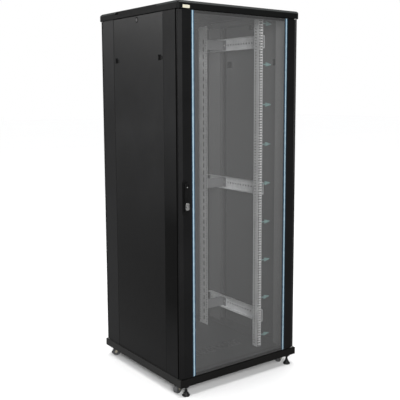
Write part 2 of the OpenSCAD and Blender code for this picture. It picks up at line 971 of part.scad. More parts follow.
// Levelling foot: pad, cone, hexagonal collar and stem
module foot(sx, sy) {
  stem_top = base_top - 7;
  color("#141414") translate([sx * foot_x, sy * foot_y, 0]) {
    rotate_extrude() polygon([
      [0, 0], [pad_r - 2, 0], [pad_r, 2], [pad_r, 6], [pad_r - 3, 10], [9, 22],
      [stem_r, 24], [stem_r, stem_top - 1], [stem_r - 1, stem_top], [0, stem_top]
    ]);
    translate([0, 0, 23]) cylinder(r = 9, h = 7, $fn = 6);
  }
}

// Flanged nuts that lock the foot stems under the plinth
module foot_lock_nuts() {
  flange_t = 5;
  nut_h = 7;
  color("#141414") four_corners() translate([foot_x, foot_y, 0]) difference() {
    union() {
      translate([0, 0, foot_h - flange_t]) cylinder(r = 18, h = flange_t);
      translate([0, 0, foot_h - flange_t - nut_h])
        cylinder(r = 11, h = flange_t + nut_h - 1, $fn = 6);
    }
    cylinder(r = stem_r + run, h = base_top);
  }
}

module caster_fork_front_left() { caster_fork(-1, -1, turn_front_left); }
module caster_fork_front_right() { caster_fork(1, -1, turn_front_right); }
module caster_fork_rear_left() { caster_fork(-1, 1, turn_rear_left); }
module caster_fork_rear_right() { caster_fork(1, 1, turn_rear_right); }
module caster_wheel_front_left() { caster_wheel(-1, -1, turn_front_left); }
module caster_wheel_front_right() { caster_wheel(1, -1, turn_front_right); }
module caster_wheel_rear_left() { caster_wheel(-1, 1, turn_rear_left); }
module caster_wheel_rear_right() { caster_wheel(1, 1, turn_rear_right); }
module foot_front_left() { foot(-1, -1); }
module foot_front_right() { foot(1, -1); }
module foot_rear_left() { foot(-1, 1); }
module foot_rear_right() { foot(1, 1); }

// ---- nodes ----

base_cross_beams();
base_side_beams();
base_gussets();
bottom_panel();
front_left_post();
front_right_post();
rear_left_post();
rear_right_post();
top_cross_beams();
top_side_beams();
roof_cover();
cable_covers();
front_left_rail();
front_right_rail();
rear_left_rail();
rear_right_rail();
left_side_beams();
right_side_beams();
rail_brackets();
cable_hooks();
badge_plate();
frame_bolts();
hinge_pins();
caster_plates();
caster_fork_front_left();
caster_fork_front_right();
caster_fork_rear_left();
caster_fork_rear_right();
caster_wheel_front_left();
caster_wheel_front_right();
caster_wheel_rear_left();
caster_wheel_rear_right();
foot_front_left();
foot_front_right();
foot_rear_left();
foot_rear_right();
foot_lock_nuts();
front_door_left_strip();
front_door_right_strip();
front_door_crossbars();
front_door_glass();
front_door_lines();
front_handle_base();
front_handle_spindle();
front_handle_lever();
front_lock_bezel();
front_key_cylinder();
front_upper_rod();
front_lower_rod();
rear_door_panel();
rear_handle_base();
rear_handle_lever();
left_side_panel();
right_side_panel();
left_front_latch();
left_rear_latch();
right_front_latch();
right_rear_latch();
left_panel_lock();
right_panel_lock();
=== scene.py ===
import json
import math

import bmesh
import bpy
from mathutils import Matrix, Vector


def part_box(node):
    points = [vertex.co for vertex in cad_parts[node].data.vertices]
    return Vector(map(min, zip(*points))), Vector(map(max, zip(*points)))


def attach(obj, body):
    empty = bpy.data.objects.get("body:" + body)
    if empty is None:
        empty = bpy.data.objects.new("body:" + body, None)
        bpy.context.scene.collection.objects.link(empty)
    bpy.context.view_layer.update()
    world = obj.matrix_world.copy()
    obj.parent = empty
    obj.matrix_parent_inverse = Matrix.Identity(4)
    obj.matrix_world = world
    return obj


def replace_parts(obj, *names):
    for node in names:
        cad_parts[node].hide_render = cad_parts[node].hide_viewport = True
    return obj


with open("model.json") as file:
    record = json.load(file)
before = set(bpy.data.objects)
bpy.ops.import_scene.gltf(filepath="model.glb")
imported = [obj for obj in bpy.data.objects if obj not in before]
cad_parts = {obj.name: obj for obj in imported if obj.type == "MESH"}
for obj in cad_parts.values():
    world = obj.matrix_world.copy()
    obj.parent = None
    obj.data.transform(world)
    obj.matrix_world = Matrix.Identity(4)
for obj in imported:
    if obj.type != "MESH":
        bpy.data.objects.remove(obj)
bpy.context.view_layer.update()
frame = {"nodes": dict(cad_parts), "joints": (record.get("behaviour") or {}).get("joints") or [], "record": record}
NODES = frame["nodes"]
JOINTS = {joint["name"]: joint for joint in frame["joints"]}
MM = 0.001
SIDES = (("left", -1), ("right", 1))
ENDS = (("front", -1), ("rear", 1))

# ---------------------------------------------------------------- camera
SENSOR_MM, LENS_MM = 36.0, 61.3017
CAMERA_PLACE = (-2.2509, -3.1679, 1.5402)
CAMERA_YAW, CAMERA_PITCH = math.radians(37.413), math.radians(-7.166)
CAMERA_SHIFT = (-0.055, -0.045)
CLIP_END = 200.0


def aim(obj, direction):
    """Turns a camera or light so that it looks along a direction, with its top up."""
    obj.rotation_mode = "QUATERNION"
    obj.rotation_quaternion = direction.to_track_quat("-Z", "Y")


def make_camera():
    camera = bpy.data.objects.new("camera", bpy.data.cameras.new("camera"))
    bpy.context.scene.collection.objects.link(camera)
    camera.location = CAMERA_PLACE
    level = math.cos(CAMERA_PITCH)
    aim(camera, Vector((math.sin(CAMERA_YAW) * level, math.cos(CAMERA_YAW) * level,
                        math.sin(CAMERA_PITCH))))
    camera.data.sensor_width = SENSOR_MM
    camera.data.lens = LENS_MM
    camera.data.shift_x, camera.data.shift_y = CAMERA_SHIFT
    camera.data.clip_end = CLIP_END
    bpy.context.scene.camera = camera


make_camera()

# ---------------------------------------------------------------- material tools
# Largest factor that a list of height bands may hold
BAND_TOP = 2.5
# Heights between which the coat of the inner faces pales: painted light, paler towards the roof
INSIDE_LOW, INSIDE_HIGH = 0.3, 1.9
BEVEL_SAMPLES = 4
SOCKETS = {"metallic": "Metallic", "ior": "IOR", "specular": "Specular IOR Level",
           "coat": "Coat Weight", "coat_roughness": "Coat Roughness", "alpha": "Alpha"}


class Graph:
    """A material's node tree with short calls for the nodes used here."""

    def __init__(self, name):
        self.mat = bpy.data.materials.new(name)
        self.mat.use_nodes = True
        self.tree = self.mat.node_tree
        self.tree.nodes.clear()
        self.out = self.add("ShaderNodeOutputMaterial")
        self.bsdf = self.add("ShaderNodeBsdfPrincipled")
        self.link(self.bsdf.outputs[0], self.out.inputs[0])
        self.coord = self.add("ShaderNodeTexCoord").outputs["Object"]

    def add(self, kind):
        return self.tree.nodes.new(kind)

    def link(self, source, target):
        self.tree.links.new(source, target)

    def put(self, socket, value):
        """A link, a number or a colour on an input."""
        if isinstance(value, bpy.types.NodeSocket):
            self.link(value, socket)
        elif isinstance(value, (int, float)):
            socket.default_value = value
        else:
            socket.default_value = (*value, 1)

    def set(self, **values):
        for key, value in values.items():
            self.bsdf.inputs[SOCKETS[key]].default_value = value

    def stretch(self, x, y, z):
        mapping = self.add("ShaderNodeMapping")
        mapping.inputs["Scale"].default_value = (x, y, z)
        self.link(self.coord, mapping.inputs["Vector"])
        return mapping.outputs[0]

    def noise(self, scale, detail=2.0, rough=0.5, vector=None):
        noise = self.add("ShaderNodeTexNoise")
        noise.inputs["Scale"].default_value = scale
        noise.inputs["Detail"].default_value = detail
        noise.inputs["Roughness"].default_value = rough
        self.link(vector or self.coord, noise.inputs["Vector"])
        return noise.outputs["Fac"]

    def cells(self, scale):
        """A grey of its own for each cell."""
        voronoi = self.add("ShaderNodeTexVoronoi")
        voronoi.inputs["Scale"].default_value = scale
        self.link(self.coord, voronoi.inputs["Vector"])
        split = self.add("ShaderNodeSeparateColor")
        self.link(voronoi.outputs["Color"], split.inputs[0])
        return split.outputs[0]

    def ramp(self, factor, stops):
        """Grey over the factor, from pairs of place and grey."""
        ramp = self.add("ShaderNodeValToRGB")
        while len(ramp.color_ramp.elements) < len(stops):
            ramp.color_ramp.elements.new(0.5)
        for element, (place, grey) in zip(ramp.color_ramp.elements, stops):
            element.position = place
            element.color = (grey, grey, grey, 1)
        self.link(factor, ramp.inputs[0])
        return ramp.outputs[0]

    def span(self, factor, lo, hi, from_lo=0.3, from_hi=0.7):
        """Maps from_lo..from_hi to lo..hi; the default suits a noise."""
        spread = self.add("ShaderNodeMapRange")
        for key, value in (("From Min", from_lo), ("From Max", from_hi),
                           ("To Min", lo), ("To Max", hi)):
            spread.inputs[key].default_value = value
        self.link(factor, spread.inputs["Value"])
        return spread.outputs[0]

    def mix(self, factor, a, b):
        mix = self.add("ShaderNodeMix")
        mix.data_type = "RGBA"
        for place, value in ((0, factor), (6, a), (7, b)):
            self.put(mix.inputs[place], value)
        return mix.outputs[2]

    def math(self, kind, a, b=0.0):
        node = self.add("ShaderNodeMath")
        node.operation = kind
        self.put(node.inputs[0], a)
        self.put(node.inputs[1], b)
        return node.outputs[0]

    def scale(self, color, factor):
        node = self.add("ShaderNodeVectorMath")
        node.operation = "SCALE"
        self.link(color, node.inputs[0])
        self.link(factor, node.inputs["Scale"])
        return node.outputs[0]

    def normal(self):
        return self.add("ShaderNodeNewGeometry").outputs["Normal"]

    def split(self, vector):
        """The x, y and z of a vector."""
        node = self.add("ShaderNodeSeparateXYZ")
        self.link(vector, node.inputs[0])
        return node.outputs

    def edge(self, radius):
        """1 along convex and concave edges, 0 on flat faces, and the rounded normal."""
        rounded = self.add("ShaderNodeBevel")
        rounded.samples = BEVEL_SAMPLES
        rounded.inputs["Radius"].default_value = radius
        dot = self.add("ShaderNodeVectorMath")
        dot.operation = "DOT_PRODUCT"
        self.link(rounded.outputs[0], dot.inputs[0])
        self.link(self.normal(), dot.inputs[1])
        return self.span(dot.outputs["Value"], 1.0, 0.0, 0.86, 0.999), rounded.outputs[0]

    def faces_in(self):
        """1 on upright faces that look at the middle of the cabinet, 0 elsewhere."""
        side = self.math("SIGN", self.split(self.coord)[0])
        outward = self.math("MULTIPLY", self.split(self.normal())[0], side)
        return self.span(outward, 1.0, 0.0, -0.9, -0.6)

    def faces_ahead(self):
        """1 on faces that look straight to the front or the rear, 0 elsewhere."""
        ahead = self.math("ABSOLUTE", self.split(self.normal())[1])
        return self.span(ahead, 0.0, 1.0, 0.6, 0.9)

    def faces_up(self):
        """1 on faces that slope up at about 45 degrees, 0 on upright and level ones."""
        rise = self.split(self.normal())[2]
        return self.math("MULTIPLY", self.span(rise, 0.0, 1.0, 0.2, 0.6),
                         self.span(rise, 1.0, 0.0, 0.85, 0.97))

    def painted_reflection_by_height(self, bands):
        """Smooth factor over the height, from pairs of height in metres and factor; painted reflection on a coat.
        """
        top = bands[-1][0]
        stops = [(z / top, factor / BAND_TOP) for z, factor in bands]
        height = self.math("DIVIDE", self.split(self.coord)[2], top)
        return self.span(self.ramp(height, stops), 0.0, BAND_TOP, 0.0, 1.0)

    def inside_painted_light(self, low, high):
        """Painted light: grey that pales with height, from the floor of the cabinet to its roof."""
        grey = self.span(self.split(self.coord)[2], low, high, INSIDE_LOW, INSIDE_HIGH)
        join = self.add("ShaderNodeCombineColor")
        for socket in join.inputs:
            self.link(grey, socket)
        return join.outputs[0]

    def bump(self, height, distance, strength, normal=None):
        bump = self.add("ShaderNodeBump")
        bump.inputs["Distance"].default_value = distance
        bump.inputs["Strength"].default_value = strength
        self.link(height, bump.inputs["Height"])
        if normal:
            self.link(normal, bump.inputs["Normal"])
        return bump.outputs[0]

    def finish(self, color, roughness, normal=None):
        self.link(color, self.bsdf.inputs["Base Color"])
        self.link(roughness, self.bsdf.inputs["Roughness"])
        if normal:
            self.link(normal, self.bsdf.inputs["Normal"])
        return self.mat


def shade(color, factor):
    return tuple(min(1.0, value * factor) for value in color)


# ---------------------------------------------------------------- materials
def powder_coat(name, color, rough=0.42, wear=1.9, specular=0.22, inside=None, bevel=None,
                front=None, bands=None):
    """Fine powder coat: orange peel, faint clouding, paler rubbed edges.

    wear is a factor on the colour of rubbed edges. bevel is a factor on the colour of sloping
    faces, painted highlight; front is one on faces that look to the front or rear, painted shade.
    inside is the grey of the faces that look into the cabinet, at its floor and at its roof, painted light
    that pales upwards. bands are factors over the height, painted reflection.
    """
    g = Graph(name)
    g.set(specular=specular)
    cloud = g.noise(5.0, detail=5.0, rough=0.6)
    fleck = g.noise(900.0)
    body = g.mix(g.span(cloud, 0.0, 1.0), shade(color, 0.86), shade(color, 1.16))
    body = g.mix(g.span(fleck, 0.0, 0.35, 0.5, 0.8), body, shade(color, 1.7))
    edge, rounded = g.edge(1.2 * MM)
    patch = g.span(g.noise(60.0, detail=4.0, rough=0.7), 0.1, 0.8, 0.35, 0.65)
    body = g.mix(g.math("MULTIPLY", edge, patch), body, shade(color, wear))
    # Painted reflection: the coat lighter and darker in bands over the height
    if bands:
        body = g.scale(body, g.painted_reflection_by_height(bands))
    # Painted shade: faces that look to the front or rear darker
    if front:
        body = g.mix(g.faces_ahead(), body, shade(color, front))
    # Painted light: inner faces paler towards the roof
    if inside:
        body = g.mix(g.faces_in(), body, g.inside_painted_light(*inside))
    # Painted highlight: sloping faces lighter, as if lit from above
    if bevel:
        body = g.mix(g.faces_up(), body, shade(color, bevel))
    rough_map = g.math("ADD", g.span(cloud, rough - 0.02, rough + 0.02),
                       g.span(g.noise(28.0, detail=3.0), -0.015, 0.02))
    peel = g.bump(g.noise(1300.0), 0.06 * MM, 0.5, rounded)
    return g.finish(body, rough_map, peel)


def zinc(name, color, rough=0.36, metallic=1.0, along=(1.0, 1.0, 0.03)):
    """Zinc-plated sheet: drawn grain, pale spangle, duller handled patches."""
    g = Graph(name)
    g.set(metallic=metallic)
    grain = g.noise(700.0, detail=3.0, rough=0.6, vector=g.stretch(*along))
    patch = g.noise(14.0, detail=4.0, rough=0.6)
    body = g.mix(g.span(patch, 0.0, 1.0), shade(color, 0.84), shade(color, 1.1))
    body = g.mix(g.span(g.cells(170.0), 0.0, 0.25, 0.0, 1.0), body, shade(color, 1.3))
    edge, rounded = g.edge(0.8 * MM)
    body = g.mix(g.math("MULTIPLY", edge, 0.5), body, shade(color, 1.5))
    rough_map = g.math("ADD", g.span(grain, rough - 0.07, rough + 0.08),
                       g.span(patch, -0.04, 0.08))
    return g.finish(body, rough_map, g.bump(grain, 0.03 * MM, 0.4, rounded))


def plastic(name, color, rough=0.5, grain=1500.0, depth=0.05 * MM, wear=1.6, specular=0.5):
    """Moulded plastic or cast part with a fine spark texture."""
    g = Graph(name)
    g.set(specular=specular)
    cloud = g.noise(35.0, detail=4.0, rough=0.6)
    body = g.mix(g.span(cloud, 0.0, 1.0), shade(color, 0.88), shade(color, 1.14))
    edge, rounded = g.edge(1.0 * MM)
    body = g.mix(g.math("MULTIPLY", edge, 0.45), body, shade(color, wear))
    rough_map = g.math("ADD", g.span(cloud, rough - 0.05, rough + 0.06),
                       g.span(g.noise(240.0), -0.02, 0.03))
    return g.finish(body, rough_map, g.bump(g.noise(grain), depth, 0.5, rounded))


def rubber(name, color, rough):
    """Matt rubber or foam with pale dust."""
    g = Graph(name)
    g.set(specular=0.3)
    dust = g.noise(45.0, detail=5.0, rough=0.65)
    body = g.mix(g.span(dust, 0.0, 0.6, 0.45, 0.75), color, shade(color, 2.2))
    rough_map = g.span(dust, rough - 0.06, rough + 0.08)
    return g.finish(body, rough_map, g.bump(g.noise(900.0, detail=3.0), 0.12 * MM, 0.6))


def chrome(name, color, rough=0.16):
    """Bright plated part with fine turning marks."""
    g = Graph(name)
    g.set(metallic=1.0)
    fine = g.noise(420.0, detail=3.0, rough=0.6, vector=g.stretch(0.06, 1.0, 1.0))
    body = g.mix(g.span(g.noise(60.0, detail=3.0), 0.0, 1.0), shade(color, 0.9), shade(color, 1.08))
    rounded = g.edge(0.6 * MM)[1]
    rough_map = g.span(fine, rough - 0.04, rough + 0.1)
    return g.finish(body, rough_map, g.bump(fine, 0.01 * MM, 0.3, rounded))


def smoked_glass(name):
    """Toughened glass: a thin grey film with faint streaks and finger marks."""
    g = Graph(name)
    g.set(alpha=0.20, specular=0.5, ior=1.5)
    streak = g.noise(6.0, detail=4.0, rough=0.55, vector=g.stretch(1.0, 1.0, 0.25))
    marks = g.noise(38.0, detail=5.0, rough=0.7)
    body = g.mix(g.span(streak, 0.0, 1.0), (0.19, 0.192, 0.193), (0.21, 0.212, 0.212))
    rough_map = g.math("ADD", g.span(marks, 0.05, 0.13, 0.45, 0.75), g.span(streak, 0.0, 0.04))
    return g.finish(body, rough_map, g.bump(g.noise(3.0), 0.2 * MM, 0.15))


def blue_line(name, lo, hi):
    """Light blue strip between two darker edges, printed across the width of the line."""
    g = Graph(name)
    g.set(specular=0.5, coat=0.3, coat_roughness=0.1)
    across = g.math("ABSOLUTE", g.split(g.coord)[0])
    off = g.math("ABSOLUTE", g.math("SUBTRACT", across, (lo + hi) / 2))
    place = g.math("DIVIDE", off, (hi - lo) / 2)
    tint = g.noise(55.0, detail=4.0, rough=0.6)
    pale = g.mix(g.span(tint, 0.0, 1.0), (0.30, 0.42, 0.48), (0.36, 0.48, 0.54))
    dark = g.mix(g.span(tint, 0.0, 1.0), (0.012, 0.045, 0.09), (0.02, 0.065, 0.12))
    body = g.mix(g.ramp(place, [(0.36, 0.0), (0.46, 1.0)]), pale, dark)
    return g.finish(body, g.span(tint, 0.22, 0.32), g.bump(g.noise(500.0), 0.02 * MM, 0.4))


# Distances from the middle of the door between which the line is printed
LINE_X = (301 * MM, 318 * MM)
# Height in metres and factor on the tone of the coat there: painted reflection, lighter and darker bands in place
# of what a glossy coat mirrors, on the side panels and the front posts
SIDE_REFLECTION_BANDS = [(0.0, 0.85), (0.15, 0.85), (0.30, 0.40), (0.50, 0.25), (0.68, 0.35),
              (0.86, 0.76), (1.02, 1.30), (1.20, 1.60), (1.38, 2.10), (1.56, 1.70),
              (1.74, 1.00), (1.86, 0.30), (2.0, 0.30)]
POST_REFLECTION_BANDS = [(0.0, 1.10), (0.15, 1.00), (0.35, 0.50), (0.50, 0.05), (0.70, 0.05),
              (0.88, 0.10), (1.02, 0.70), (1.20, 1.00), (1.38, 1.50), (1.56, 1.30),
              (1.74, 0.95), (1.86, 0.30), (2.0, 0.30)]
# Greys of the inner faces at the floor and at the roof: painted light, on the posts and on the side panels
POST_INSIDE_LIGHT, PANEL_INSIDE_LIGHT = (0.10, 0.22), (0.04, 0.13)
ALONG_Y, NO_GRAIN = (1.0, 0.03, 1.0), (1.0, 1.0, 1.0)
LOOKS = {
    "plinth_black": (powder_coat, dict(color=(0.024, 0.024, 0.0235))),
    # Base cross beams: a darker copy of the plinth coat, painted shade on the front of the plinth
    "plinth_front_black": (powder_coat, dict(color=(0.0062, 0.006, 0.0058), specular=0.12)),
    # Front posts: painted reflection over the height, painted shade on their front faces, painted light inside
    "front_post_black": (powder_coat, dict(color=(0.0125, 0.0125, 0.0128), rough=0.45, wear=1.7,
                                           specular=0.12, inside=POST_INSIDE_LIGHT, front=0.18,
                                           bands=POST_REFLECTION_BANDS)),
    "frame_black": (powder_coat, dict(color=(0.015, 0.015, 0.0155), rough=0.45, wear=1.7,
                                      inside=POST_INSIDE_LIGHT)),
    # Roof: the sloping faces of its rim eight times lighter, painted highlight
    "roof_black": (powder_coat, dict(color=(0.0042, 0.0045, 0.0044), rough=0.52, specular=0.10,
                                     bevel=8.0)),
    "panel_black": (powder_coat, dict(color=(0.0092, 0.0092, 0.0094), rough=0.38, wear=1.5,
                                      inside=PANEL_INSIDE_LIGHT, bands=SIDE_REFLECTION_BANDS)),
    "door_black": (powder_coat, dict(color=(0.0060, 0.0060, 0.0062), rough=0.34, wear=1.5,
                                     specular=0.12)),
    "rear_door_black": (powder_coat, dict(color=(0.012, 0.012, 0.0125))),
    "zinc_plate": (zinc, dict(color=(0.88, 0.89, 0.90), rough=0.42, metallic=0.1, along=ALONG_Y)),
    "rail_zinc": (zinc, dict(color=(0.62, 0.625, 0.625), rough=0.45, metallic=0.2)),
    "bracket_zinc": (zinc, dict(color=(0.22, 0.222, 0.226), rough=0.42, metallic=0.3)),
    "bolt_zinc": (zinc, dict(color=(0.66, 0.65, 0.62), rough=0.3, along=NO_GRAIN)),
    "hook_plastic": (plastic, dict(color=(0.20, 0.34, 0.325))),
    "badge_blank": (plastic, dict(color=(0.56, 0.535, 0.43), rough=0.42, grain=700.0,
                                  depth=0.02 * MM, wear=1.15)),
    "caster_zinc": (zinc, dict(color=(0.62, 0.58, 0.48), rough=0.34, along=NO_GRAIN)),
    "caster_tread": (rubber, dict(color=(0.085, 0.086, 0.088), rough=0.34)),
    "foot_black": (plastic, dict(color=(0.0055, 0.0055, 0.0055), wear=1.4, specular=0.25)),
    "door_glass": (smoked_glass, dict()),
    "line_blue": (blue_line, dict(lo=LINE_X[0], hi=LINE_X[1])),
    "handle_black": (plastic, dict(color=(0.0042, 0.0042, 0.0042), rough=0.40, grain=900.0,
                                   depth=0.04 * MM, specular=0.14)),
    "lock_steel": (zinc, dict(color=(0.52, 0.52, 0.52))),
    "lock_chrome": (chrome, dict(color=(0.78, 0.78, 0.76))),
    "latch_black": (plastic, dict(color=(0.0022, 0.0022, 0.0022), rough=0.8, wear=1.2,
                                  specular=0.08)),
    "panel_lock_grey": (plastic, dict(color=(0.022, 0.022, 0.023), rough=0.36, grain=900.0,
                                      depth=0.03 * MM, wear=2.4)),
    # Pale marks on the rails: painted highlight on the metal between the holes
    "mark_white": (plastic, dict(color=(0.95, 0.95, 0.94), grain=900.0, depth=0.02 * MM,
                                 wear=1.05)),
    # Dark strips and plates on the rails: painted shade in place of holes and slots
    "mark_dark": (plastic, dict(color=(0.10, 0.10, 0.10), grain=900.0, depth=0.02 * MM,
                                wear=1.05)),
    # Dark foam of the door seals, also painted shade in the gaps beside the side panels
    "seal_foam": (rubber, dict(color=(0.004, 0.004, 0.004), rough=0.85)),
    "wheel_grey": (plastic, dict(color=(0.055, 0.056, 0.058), rough=0.32)),
}
MAT = {name: make(name, **look) for name, (make, look) in LOOKS.items()}
# Nodes whose look differs from that of the other nodes of their slot: painted reflection, shade and light on the
# front posts, painted shade on the base cross beams
OWN_LOOK = {"front_left_post": "front_post_black", "front_right_post": "front_post_black",
            "base_cross_beams": "plinth_front_black"}
for entry in frame["record"]["subparts"]:
    look = OWN_LOOK.get(entry["node"], entry["material_slot"])
    NODES[entry["node"]].data.materials.clear()
    NODES[entry["node"]].data.materials.append(MAT[look])


# ---------------------------------------------------------------- mesh tools
SHARP_ANGLE = math.radians(40)
BEVEL_ANGLE = math.radians(35)
MERGE = 0.001 * MM
# Solids of one node with a larger gap in height than this are told apart
LEVEL_GAP = 100 * MM


def piece(name, bm, body, slot, look=None):
    """A mesh object from bm, in the row frame, that rides on a body."""
    bmesh.ops.recalc_face_normals(bm, faces=bm.faces)
    mesh = bpy.data.meshes.new(name)
    bm.to_mesh(mesh)
    bm.free()
    obj = bpy.data.objects.new(name, mesh)
    bpy.context.scene.collection.objects.link(obj)
    mesh.materials.append(MAT[look or slot])
    for poly in mesh.polygons:
        poly.use_smooth = True
    mesh.set_sharp_from_angle(angle=SHARP_ANGLE)
    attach(obj, body)
    return obj


def world_points(node):
    obj = NODES[node]
    return [obj.matrix_world @ vertex.co for vertex in obj.data.vertices]


def box_of(points):
    return tuple(Vector([pick(point[i] for point in points) for i in range(3)])
                 for pick in (min, max))


def solid_boxes(node):
    """Boxes of a node's solids that lie one above the other, from the lowest up."""
    points = sorted(world_points(node), key=lambda point: point.z)
    groups = [[points[0]]]
    for point in points[1:]:
        if point.z - groups[-1][-1].z > LEVEL_GAP:
            groups.append([])
        groups[-1].append(point)
    return [box_of(group) for group in groups]


def outer_y(lo, hi, sy):
    """The front of a box where sy is -1, its rear where sy is 1."""
    return lo.y if sy < 0 else hi.y


def outer_x(lo, hi, sx):
    """The left of a box where sx is -1, its right where sx is 1."""
    return lo.x if sx < 0 else hi.x


def add_box(bm, lo, hi, round_by=0.0):
    """A box with rounded edges, added to bm."""
    made = bmesh.ops.create_cube(bm, size=1.0)["verts"]
    for vertex in made:
        vertex.co = Vector([lo[i] + (vertex.co[i] + 0.5) * (hi[i] - lo[i]) for i in range(3)])
    if round_by:
        edges = list({edge for vertex in made for edge in vertex.link_edges})
        bmesh.ops.bevel(bm, geom=edges, offset=round_by, segments=2, profile=0.5, affect="EDGES")


def add_lathe(bm, profile, centre, axis, steps=48):
    """Profile points (radius, height along axis) in mm, turned about the axis through centre."""
    axis = Vector(axis).normalized()
    side = axis.orthogonal().normalized()
    up = axis.cross(side)
    rings = []
    for k in range(steps):
        turn = 2 * math.pi * k / steps
        out = side * math.cos(turn) + up * math.sin(turn)
        rings.append([bm.verts.new(Vector(centre) + (out * radius + axis * height) * MM)
                      for radius, height in profile])
    for k in range(steps):
        here, after = rings[k], rings[(k + 1) % steps]
        for i in range(len(profile) - 1):
            bm.faces.new((here[i], after[i], after[i + 1], here[i + 1]))
    bmesh.ops.remove_doubles(bm, verts=[v for ring in rings for v in ring], dist=MERGE)


def add_prism(bm, outline, place, depth):
    """A flat outline of (u, v) points, pushed through depth; place maps (u, v, w) to a point."""
    low = [bm.verts.new(place(u, v, 0.0)) for u, v in outline]
    high = [bm.verts.new(place(u, v, depth)) for u, v in outline]
    bm.faces.new(low[::-1])
    bm.faces.new(high)
    for i in range(len(low)):
        j = (i + 1) % len(low)
        bm.faces.new((low[i], low[j], high[j], high[i]))


def soften(node, width):
    """Rounds the edges of a CAD node with a bevel, after joining its split corners."""
    weld = NODES[node].modifiers.new("join", "WELD")
    weld.merge_threshold = MERGE
    bevel = NODES[node].modifiers.new("round", "BEVEL")
    bevel.width = width
    bevel.segments = 2
    bevel.limit_method = "ANGLE"
    bevel.angle_limit = BEVEL_ANGLE
    bevel.harden_normals = True


# ---------------------------------------------------------------- rails: painted shade of the holes and painted highlights between them
UNITS = 42
UNIT_H = 44.45 * MM
# The rail's first unit starts this far below its lowest point
RAIL_START = 1 * MM
MARK_ROWS = (14.2875 * MM, 30.1625 * MM, 44.45 * MM)
MARK_X = (238.5 * MM, 250 * MM)
MARK_HALF_H = 4 * MM
MARK_T, STRIP_T = 0.12 * MM, 0.06 * MM
STRIP_INSET = 2 * MM


def rail_marks(end, sy, side, sx):
    """A dark strip on the face of a rail, painted shade in place of its holes, with a pale mark between the holes,
    a painted highlight.
    """
    lo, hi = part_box(f"{end}_{side}_rail")
    face_y = outer_y(lo, hi, sy)
    x0, x1 = sorted(sx * x for x in MARK_X)
    # Dark strip over the column of holes: painted shade
    y0, y1 = sorted((face_y, face_y + sy * STRIP_T))
    bm = bmesh.new()
    add_box(bm, (x0, y0, lo.z + STRIP_INSET), (x1, y1, hi.z - STRIP_INSET))
    piece(f"{end}_{side}_rail_shade_strip", bm, "frame", "badge_blank", "mark_dark")
    # Pale marks between the holes: painted highlight
    y0, y1 = sorted((face_y, face_y + sy * MARK_T))
    bm = bmesh.new()
    for row in MARK_ROWS:
        for unit in range(UNITS):
            z = lo.z - RAIL_START + unit * UNIT_H + row
            add_box(bm, (x0, y0, z - MARK_HALF_H), (x1, y1, z + MARK_HALF_H))
    piece(f"{end}_{side}_rail_marks", bm, "frame", "badge_blank", "mark_white")


for side, sx in SIDES:
    for end, sy in ENDS:
        rail_marks(end, sy, side, sx)

# ---------------------------------------------------------------- rails: painted shade for the slots of the flanges
ROW_PITCH = 15.875 * MM
PLATE_T = 0.1 * MM
# Half width, half height, pitch, and room left free at the foot and over the whole height
DOT = (4 * MM, 3.5 * MM, ROW_PITCH, 20 * MM, 40 * MM)
SLOT = (4.5 * MM, 14 * MM, UNIT_H, 40 * MM, 60 * MM)
# Columns of dots and slots, by their distance from the face of the rail
FLANGE_COLUMNS = {"front": ((DOT, 25 * MM),),
                  "rear": ((DOT, 5 * MM), (DOT, 77 * MM), (SLOT, 48 * MM))}


def flange_slots(end, sy, side, sx):
    """Dark plates on the inner side of a rail's flange, painted shade in place of punched slots."""
    lo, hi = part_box(f"{end}_{side}_rail")
    skin = outer_x(lo, hi, -sx)
    face_y = outer_y(lo, hi, sy)
    x0, x1 = sorted((skin, skin - sx * PLATE_T))
    bm = bmesh.new()
    for (half_w, half_h, pitch, foot, spare), depth in FLANGE_COLUMNS[end]:
        y = face_y - sy * depth
        for k in range(int((hi.z - lo.z - spare) / pitch)):
            z = lo.z + foot + k * pitch
            add_box(bm, (x0, y - half_w, z - half_h), (x1, y + half_w, z + half_h))
    piece(f"{end}_{side}_rail_slot_shade", bm, "frame", "rail_zinc", "mark_dark")


for side, sx in SIDES:
    for end, sy in ENDS:
        flange_slots(end, sy, side, sx)

# ---------------------------------------------------------------- side beams: painted shade of the holes
PUNCH_PITCH = 25 * MM
PUNCH_MARGIN = 40 * MM
# Rim around a hole, in mm: a dark ring, painted shade that makes the hole look larger
RIM_PROFILE = [(5.8, 0), (5.8, 0.1), (6.8, 0.1), (6.8, 0)]
BACK_T, BACK_HALF_H = 0.2 * MM, 5 * MM
# Part of a pitch by which the dark back goes past the last hole
BACK_PAST = 0.4
# Points closer than this to the outside of the beam belong to its back
WEB_LEAST = 0.5 * MM


def beam_holes(side, sx):
    """Dark rims around the holes of the side beams, and a dark back behind each row: painted shade."""
    node = f"{side}_side_beams"
    depths = {sx * point.x for point in world_points(node)}
    outside = max(depths)
    web_face = sx * max(depth for depth in depths if depth < outside - WEB_LEAST)
    x0, x1 = sorted((sx * outside, sx * (outside + BACK_T)))
    for level, (lo, hi) in enumerate(solid_boxes(node)):
        middle = (lo + hi) / 2
        steps = int(((hi.y - lo.y) / 2 - PUNCH_MARGIN) / PUNCH_PITCH)
        reach = (steps + BACK_PAST) * PUNCH_PITCH
        bm = bmesh.new()
        for k in range(-steps, steps + 1):
            add_lathe(bm, RIM_PROFILE, (web_face, middle.y + k * PUNCH_PITCH, middle.z),
                      (-sx, 0, 0), 20)
        add_box(bm, (x0, middle.y - reach, middle.z - BACK_HALF_H),
                (x1, middle.y + reach, middle.z + BACK_HALF_H))
        piece(f"{side}_beam_shade_rims_{level}", bm, "frame", "zinc_plate", "latch_black")


for side, sx in SIDES:
    beam_holes(side, sx)

# ---------------------------------------------------------------- door seals
SEAL_X = 357 * MM
SEAL_INSET = 8 * MM
